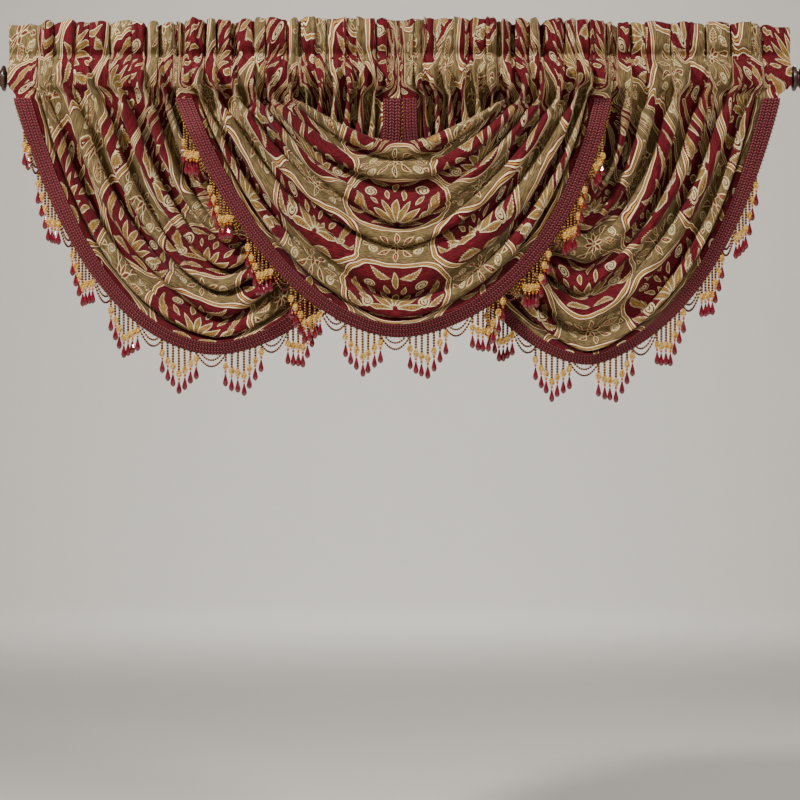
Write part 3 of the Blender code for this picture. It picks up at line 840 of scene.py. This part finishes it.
def header_grid(row, place, fine, uv_edge):
    """One header section, from the front's lower edge over the ruffle to the back."""
    name, which, side, x_low, x_high, top_z, reach_l, reach_r = row
    foot = swag_surface(which, side, [0.0], place, fine)[0]
    out = fine[:, 5]
    foot_falls = foot[0, 0] > foot[-1, 0]
    order = np.argsort(foot[:, 0], kind="stable")
    foot, out, lines, edge_uv = foot[order], out[order], place[order], uv_edge[order]
    count = len(lines)
    even = (lines - lines[0]) / (lines[-1] - lines[0])
    inward = np.minimum(even, 1 - even)
    own = (foot[:, 0] - foot[0, 0]) / (foot[-1, 0] - foot[0, 0])
    x_top = mix(x_low - 1.6, x_high + 1.6, mix(own, even, 0.5))
    foot_x = foot[:, 0] - reach_l * (1 - ease(even / 0.06)) + reach_r * (1 - ease((1 - even) / 0.06))
    start = 0.15 if name == "header_left_outer" else 0.0
    stop = 0.86 if name == "header_right_outer" else 1.0
    gathered = ease((even - start) / 0.05) * ease((stop - even) / 0.05)
    lobe = gather(lines, which, side) * gathered
    lobe = mix(0.45, lobe, gathered)

    # The pocket's front, from its lower seam up to the stitch line.
    tall = np.linspace(0.0, 1.0, 28)[:, None]
    z_pocket = np.interp(tall[:, 0], (0.0, 0.2, 1.0), (POCKET_Z - HEAD_GAP, -34.0, STITCH_Z))[:, None]
    round_rod = np.interp(z_pocket, (-50.5, -40, -22, 8, 18, 28, 36, 42),
                          (0, -15, -27.5, -28, -25, -18, -9, -3))
    leave = ease((-20.0 - z_pocket) / 30.5)
    base = mix(round_rod, foot[:, 1], leave)
    full = np.interp(z_pocket, (-50.5, -30.0, 0.0, 20.0, 36.0, 42.0), (0.0, 0.7, 1.0, 0.8, 0.4, 0.25))
    shown_roll = np.interp(z_pocket, (-50.5, -30, 16, 39), (0, 1, 0.9, 0))
    pucker = np.abs(np.sin(2.9 * math.pi * lines * LOBES[which][side] / LAST + 0.4)) ** 0.7
    near_seam = bell((z_pocket - STITCH_Z) / 16.0)
    y_pocket = base - POCKET_FULL * full * (lobe - 0.1) - POCKET_ROLL * out * gathered * shown_roll
    y_pocket = y_pocket - POCKET_PUCKER * near_seam * pucker * gathered
    z_pocket = z_pocket + 0 * lines

    # The ruffle's front and back, with its rounded lobes.
    rise = np.linspace(0.0, 1.0, 24)[1:, None]
    full = 0.25 + 0.75 * ease(rise / 0.4)
    swell = np.sin(math.pi * np.clip(0.12 + 0.76 * rise, 0, 1)) ** 0.5
    crown = RUFFLE_Y + 10.0 - RUFFLE_LOBE * lobe * full * swell
    y_ruffle = mix(-3.0, crown, ease(rise / 0.22))
    y_ruffle = y_ruffle - RUFFLE_PUCKER * bell(rise / 0.16) * (pucker * gathered)
    phase = lobe_phase(lines, which, side)
    slot = bell((phase - np.round(phase)) / 0.1) * gathered
    y_ruffle = y_ruffle + RUFFLE_SLOT * slot * ease(rise / 0.2)
    y_ruffle = y_ruffle + 1.6 * np.sin(5 * rise + 1.3 * lines) * rise
    high = top_z + 2.0 - RIM_DIP * (1 - lobe) ** 1.3 + 1.5 * np.sin(2.9 * lines + side)
    if name == "header_right_outer":
        high = high - 7.0 * ease((even - 0.86) / 0.14)
    if name == "header_left_outer":
        high = high - 3.0 * ease((0.1 - even) / 0.1)
    z_ruffle = STITCH_Z + (high - STITCH_Z) * rise
    thin = 2.2 + 4.0 * np.sin(math.pi * rise[::-1] * 0.9) * lobe
    y_back = y_ruffle[::-1] + thin

    # The back of the pocket, behind the rod.
    down = np.linspace(0.0, 1.0, 16)[:, None]
    z_rear = mix(STITCH_Z, POCKET_Z, down) + 0 * lines
    belly = np.interp(down[:, 0], (0, 0.15, 0.35, 0.6, 0.8, 1.0), (1.6, 16.0, 26.8, 28.2, 24.0, 6.0))
    y_rear = np.maximum(belly[:, None] - 1.2 * lobe, foot[:, 1] + 1.2)
    y_rear[-1] = foot[:, 1] + 1.2
    z = np.concatenate([z_pocket, z_ruffle, z_ruffle[::-1][1:], z_rear])
    y = np.concatenate([y_pocket, y_ruffle, y_back[1:], y_rear])

    # Near its two ends the section turns back, so that neighbours meet in a crease.
    end_fold = 1 - ease(inward / 0.02)
    if name == "header_left_outer":
        end_fold = end_fold * (even > 0.5)
    if name == "header_right_outer":
        end_fold = end_fold * (even < 0.5)
    up_high = ease((z - POCKET_Z) / 20.0)
    front = np.zeros((len(y), 1))
    front[:len(y_pocket) + len(y_ruffle)] = 1.0
    y = y + 7.0 * end_fold * up_high * front * (z > STITCH_Z + 12)
    share = ease((z - POCKET_Z) / 36.0)
    x = foot_x + (x_top - foot_x) * share
    sway = 3.0 * np.sin(2.1 * lines + 1.7 * side) * ease((z - STITCH_Z) / 90.0)
    lap = np.sin(TURN * phase) * gathered * ease(inward / 0.05)
    lap = lap * (x_high - x_low) / LOBES[which][side] * (0.15 if foot_falls else -0.15)
    x = x + lap * front * ease((z - POCKET_Z) / 60.0)
    x = x + sway * ease(inward / 0.1)
    points = np.stack([x, y, z], axis=2)
    up = lengths(points)
    way = -1.0 if side == 0 else 1.0
    u = edge_uv[:, 0] + way * up
    arc = lengths(points[len(y_pocket) + 10])
    hidden = np.floor(phase) + ease((phase - np.floor(phase) - 0.9) / 0.1)
    growth = 1.0 if edge_uv[-1, 1] > edge_uv[0, 1] else -1.0
    own_v = edge_uv[count // 2, 1] + growth * (arc - arc[count // 2])
    own_v = own_v + CREASE_HIDES * (hidden - hidden[count // 2]) * gathered
    v = mix(edge_uv[:, 1], own_v, ease((z - POCKET_Z) / 45.0))
    return points, np.stack([u, v], axis=2)


def hem_path(points):
    """The braid's upper line, the hem line, and unit directions down the cloth and out of it."""
    upper = points[:, (LINES - 2) * PER_LINE]
    hem = points[:, -1]
    down = hem - upper
    down = down / np.linalg.norm(down, axis=1)[:, None]
    along = np.gradient(hem, axis=0)
    normal = np.cross(down, along)
    normal = normal / np.linalg.norm(normal, axis=1)[:, None]
    normal = normal * np.where(normal[:, 1:2] > 0, -1.0, 1.0)
    return upper, hem, down, normal


def make_trim(which, points):
    """The braid: three rounded ribs between corded edges."""
    upper, hem, down, normal = hem_path(points)
    low = hem + down * TRIM_LAP
    steps = 21
    share = np.linspace(0.0, 1.0, steps)
    ribs = 0.55 + 0.75 * np.abs(np.sin(3 * math.pi * share)) ** 0.6
    ribs[[0, -1]] = 0.3
    ribs[[1, -2]] = 1.1
    front = [mix(upper, low, s) + normal * (TRIM_FACE + r) for s, r in zip(share, ribs)]
    back = [mix(upper, low, s) + normal * TRIM_BACK for s in (1.0, 0.5, 0.0)]
    band = np.stack(front + back, axis=1)
    length = lengths(hem)
    wide = np.concatenate([share, (1.0, 0.5, 0.0)]) * TRIM_WIDE
    uv = np.stack(np.broadcast_arrays(length[:, None], wide[None, :]), axis=2)
    rows, cols = band.shape[:2]
    a = np.arange(rows * cols).reshape(rows, cols)
    b = np.roll(a, -1, axis=1)
    faces = np.stack([a[:-1], b[:-1], b[1:], a[1:]], axis=-1).reshape(-1, 4).tolist()
    faces += [list(a[0][::-1]), list(a[-1])]
    return add_mesh("braid_" + which, band.reshape(-1, 3), faces, [BRAID], uv.reshape(-1, 2))


def round_bead():
    """A small ball of twenty faces."""
    g = (1 + 5**0.5) / 2
    points = []
    for a in (-1.0, 1.0):
        for b in (-g, g):
            points += [(0, a, b), (a, b, 0), (b, 0, a)]
    points = np.array(points) / math.hypot(1.0, g)
    faces = []
    for i in range(12):
        for j in range(i + 1, 12):
            for k in range(j + 1, 12):
                p, q, r = points[i], points[j], points[k]
                side = max(np.linalg.norm(p - q), np.linalg.norm(q - r), np.linalg.norm(p - r))
                if side < 1.2:
                    out = np.dot(np.cross(q - p, r - p), p) > 0
                    faces.append((i, j, k) if out else (i, k, j))
    return points, np.array(faces)


def turned(profile, sides):
    """A turned form from (along, radius) rows: its points, and faces of four sides."""
    points, faces = [], []
    for along, radius in profile:
        for k in range(sides):
            angle = TURN * k / sides
            points.append((along, radius * math.cos(angle), radius * math.sin(angle)))
    for first in range(0, (len(profile) - 1) * sides, sides):
        for k in range(sides):
            a, b = first + k, first + (k + 1) % sides
            faces.append((a, a + sides, b + sides, b))
    return np.array(points), faces


def drop_bead():
    """A faceted teardrop, its top at the origin, one unit long."""
    profile = ((0.0, 0.05), (0.07, 0.17), (0.28, 0.32), (0.52, 0.54), (0.74, 0.66), (0.91, 0.46),
               (1.0, 0.04))
    points, faces = turned(profile, 8)
    halves = [half for p, q, r, t in faces for half in ((p, q, r), (p, r, t))]
    return points[:, [1, 2, 0]] * (1.0, 1.0, -1.0), np.array(halves)


BALL = round_bead()
DROP = drop_bead()


class Beads:
    """Collects beads, then joins them into one mesh."""

    def __init__(self):
        self.points, self.faces, self.looks, self.count = [], [], [], 0

    def add(self, shape, centre, scale, look):
        points, faces = shape
        self.points.append(points * np.asarray(scale, float) + np.asarray(centre, float))
        self.faces.append(faces + self.count)
        self.looks.append(np.full(len(faces), look))
        self.count += len(points)

    def ball(self, centre, radius, look):
        self.add(BALL, centre, (radius, radius, radius), look)

    def join(self, name):
        points = np.concatenate(self.points)
        faces = np.concatenate(self.faces)
        looks = np.concatenate(self.looks)
        item = add_mesh(name, points, faces, BEAD_LOOKS, pick=looks)
        item.data.polygons.foreach_set("use_smooth", looks != RUBY_AT)
        return item


def strand_places(path, length):
    """Distances along the hem, and hanging lengths, of the strands, as in the solids."""
    def at(s):
        return np.interp(s, length, path[:, 0])

    total, middle = length[-1], length[len(length) // 2]
    places = []
    for way in (1, -1):
        s = middle + (FIRST_RIGHT if way > 0 else FIRST_LEFT)
        count = 0
        while STRAND_END < s < total - STRAND_END:
            slope = abs(at(s + 2.0) - at(s - 2.0)) / 4.0
            if slope < STEEPEST:
                break
            order = count if way > 0 else -1 - count
            places.append((s, CLUSTER_LENGTHS[order % len(CLUSTER_LENGTHS)]))
            count += 1
            step = STRAND_PITCH if count % len(CLUSTER_LENGTHS) else CLUSTER_GAP
            s += way * max(step, STRAND_STEP_X / slope)
    return sorted(places)


def make_beads(which, points, chance):
    """Beaded fringe: an edge row, strands with clusters and drops, and loops between them."""
    hem, down = hem_path(points)[1:3]
    length = lengths(hem)
    beads = Beads()

    def at(s, drop):
        return np.array([np.interp(s, length, (hem + down * drop)[:, c]) for c in range(3)])

    s = 8.0
    while s < length[-1] - 8.0:
        turn = int(s / EDGE_STEP) % 3
        beads.ball(at(s, STRAND_ROOT + 0.8), EDGE_R, GOLD_AT if turn == 0 else SEED_AT)
        if turn == 1:
            beads.ball(at(s, STRAND_ROOT + 3.9), EDGE_R, GOLD_AT)
        s += EDGE_STEP
    places = strand_places(hem, length)
    for s, hang in places:
        top = at(s + 1.5, STRAND_ROOT)
        sway = chance.uniform(-1.6, 1.6, 2)
        hang = hang + chance.uniform(-2.0, 2.0)

        def spot(fall):
            share = fall / hang
            return top + np.array((sway[0] * share, sway[1] * share, -fall))

        chain = hang - DROP_LENGTH - DROP_NECK - CLUSTER_TALL
        fall = 2.6
        while fall < chain:
            beads.ball(spot(fall), SEED_R, SEED_AT)
            beads.ball(spot(fall + 3.3), GOLD_R, GOLD_AT)
            fall += SEED_STEP
        for ring_at, swell in enumerate(CLUSTER_SWELL):
            level = chain + 2.4 + CLUSTER_STEP * ring_at
            for k in range(5):
                angle = TURN / 5 * k + 0.7 * ring_at + sway[0]
                offset = np.array((swell * math.cos(angle), swell * 0.7 * math.sin(angle), 0.0))
                offset[2] = chance.uniform(-0.8, 0.8)
                beads.ball(spot(level) + offset, GOLD_R, PALE_AT if (k + ring_at) % 3 else GOLD_AT)
        beads.add(BALL, spot(chain + 8.5), (4.2, 3.4, 9.0), PALE_AT)
        beads.add(BALL, spot(hang - DROP_LENGTH - 4.2), (3.3, 3.3, 4.8), AMBER_AT)
        twist = chance.uniform(0.0, 0.7)
        points, faces = DROP
        about = np.array(((math.cos(twist), math.sin(twist), 0.0),
                          (-math.sin(twist), math.cos(twist), 0.0), (0.0, 0.0, 1.0)))
        beads.add((points @ about, faces), spot(hang - DROP_LENGTH + 0.4),
                  (10.4, 9.8, DROP_LENGTH), RUBY_AT)
    for (one, _), (two, _) in zip(places, places[1:]):
        if two - one < 40.0:
            continue
        ends = at(one + 1.5, STRAND_ROOT), at(two + 1.5, STRAND_ROOT)
        wide = np.linalg.norm(ends[1] - ends[0])
        for inset, sag in LOOPS:
            span = wide * (1 - 2 * inset)
            steps = int((span + 8.0 * sag * sag / (3.0 * span)) / EDGE_STEP)
            for k in range(1, steps):
                share = k / steps
                spot = mix(ends[0], ends[1], inset + share * (1 - 2 * inset))
                spot = spot - np.array((0.0, 0.0, 4 * sag * share * (1 - share) + 0.8))
                radius, look = (LOOP_GOLD_R, GOLD_AT) if k % 2 else (LOOP_SEED_R, SEED_AT)
                beads.ball(spot, radius, look)
    return beads.join("beads_" + which)


def lathe(name, profile, sides, way, start):
    """A turned piece on the rod's axis."""
    points, faces = turned([(way * (start + along), radius) for along, radius in profile], sides)
    if way < 0:
        faces = [(p, t, r, q) for p, q, r, t in faces]
    ends = list(range(sides)), list(range(len(points) - sides, len(points)))[::-1]
    faces += [end[::way] for end in ends]
    return add_mesh(name, points, faces, [WOOD])


rod_profile = [(0.0, POLE_R - 0.6), (0.6, POLE_R),
               (2 * POLE_HALF - 0.6, POLE_R), (2 * POLE_HALF, POLE_R - 0.6)]
seat(lathe("rod", rod_profile, 64, 1, -POLE_HALF), "pole")
for side, way in (("left", -1), ("right", 1)):
    rod_end = lathe("rod_end_" + side, FINIAL_PROFILE, 56, way, POLE_HALF + FINIAL_GAP)
    seat(rod_end, "finial_" + side)

chance = np.random.default_rng(7)
cloths = {}
for which in SWAGS:
    place, fine, points, uv = swag_grid(which)
    cloths[which] = (place, fine, points, uv)
    rows, cols = points.shape[:2]
    item = add_mesh("cloth_" + which, points.reshape(-1, 3), grid_faces(rows, cols), [DAMASK],
                    uv.reshape(-1, 2))
    trim = make_trim(which, points)
    beads = make_beads(which, points, chance)
    seat(trim, "trim_" + which)
    seat(beads, "fringe_" + which)
    declare(item, "swag_" + which)

for row in HEADERS:
    name, which, side = row[:3]
    place, fine, points, uv = cloths[which]
    edge = uv[0] if side == 0 else uv[-1]
    grid, coords = header_grid(row, place, fine, edge)
    rows, cols = grid.shape[:2]
    item = add_mesh(name.replace("header", "heading"), grid.reshape(-1, 3), grid_faces(rows, cols),
                    [DAMASK], coords.reshape(-1, 2))
    declare(item, name)


def area_light(name, place, target, size, power, colour):
    data = bpy.data.lights.new(name, "AREA")
    data.shape = "SQUARE"
    data.size = size
    data.energy = power
    data.color = colour
    lamp = bpy.data.objects.new(name, data)
    lamp.location = place
    way = np.array(target) - np.array(place)
    from_z = -way / np.linalg.norm(way)
    lamp.rotation_euler = (math.acos(from_z[2]), 0.0, math.atan2(from_z[0], -from_z[1]))
    bpy.context.scene.collection.objects.link(lamp)


# A round floor that curves up into a wall, in millimetres.
FLOOR_Z = -1900.0
FLOOR_R = 9000.0
COVE_R = 3000.0
WALL_TOP = 5000.0
stage_look = Look("stage", 0.9)
stage_look.colour(stage_look.blend(stage_look.object_noise(3.0, 2.0), (0.80, 0.77, 0.72, 1.0),
                                   (0.82, 0.79, 0.74, 1.0)))
outline = [(0.0, FLOOR_Z), (FLOOR_R, FLOOR_Z)]
outline += [(FLOOR_R + COVE_R * math.sin(a), FLOOR_Z + COVE_R - COVE_R * math.cos(a))
            for a in np.linspace(0.0, math.pi / 2, 14)[1:]]
outline += [(FLOOR_R + COVE_R, WALL_TOP)]
turns = np.linspace(0.0, TURN, 97)
cove = [[(r * math.cos(a), r * math.sin(a), z) for a in turns] for r, z in outline]
floor = add_mesh("floor", np.array(cove).reshape(-1, 3), grid_faces(len(outline), len(turns)),
                 [stage_look.material])

# Lamps: place, target, size, power and colour.
WARM = (1.0, 0.97, 0.92)
SOFT = (1.0, 0.98, 0.95)
MIDDLE = (0.0, 0.0, -0.35)
area_light("left", (-2.6, -2.1, 2.0), MIDDLE, 0.42, 222.0, WARM)
area_light("right", (2.6, -2.1, 1.6), MIDDLE, 0.42, 74.0, SOFT)
area_light("behind", (1.7, 3.2, 1.9), MIDDLE, 0.8, 75.0, SOFT)
area_light("far", (0.0, 7.2, 2.3), (0.0, 10.4, -1.5), 2.4, 215.0, SOFT)
area_light("near", (0.0, -9.4, 2.1), (0.0, -12.0, -0.9), 2.0, 110.0, SOFT)
world = bpy.data.worlds.new("studio")
bpy.context.scene.world = world
world.use_nodes = True
background = world.node_tree.nodes["Background"]
background.inputs[0].default_value = SOFT + (1.0,)
background.inputs[1].default_value = 0.02

# The camera: how far it stands from the rod, and how wide the picture is there, in metres.
CAMERA_AWAY = 7.0
PICTURE_WIDE = 1.92
camera_data = bpy.data.cameras.new("camera")
camera = bpy.data.objects.new("camera", camera_data)
bpy.context.scene.collection.objects.link(camera)
camera_data.sensor_width = 36.0
camera_data.lens = 36.0 * CAMERA_AWAY / PICTURE_WIDE
camera_data.clip_end = 100.0
camera.location = (0.0024, -0.03 - CAMERA_AWAY, -0.775)
camera.rotation_euler = (math.pi / 2, 0.0, 0.0)
bpy.context.scene.camera = camera
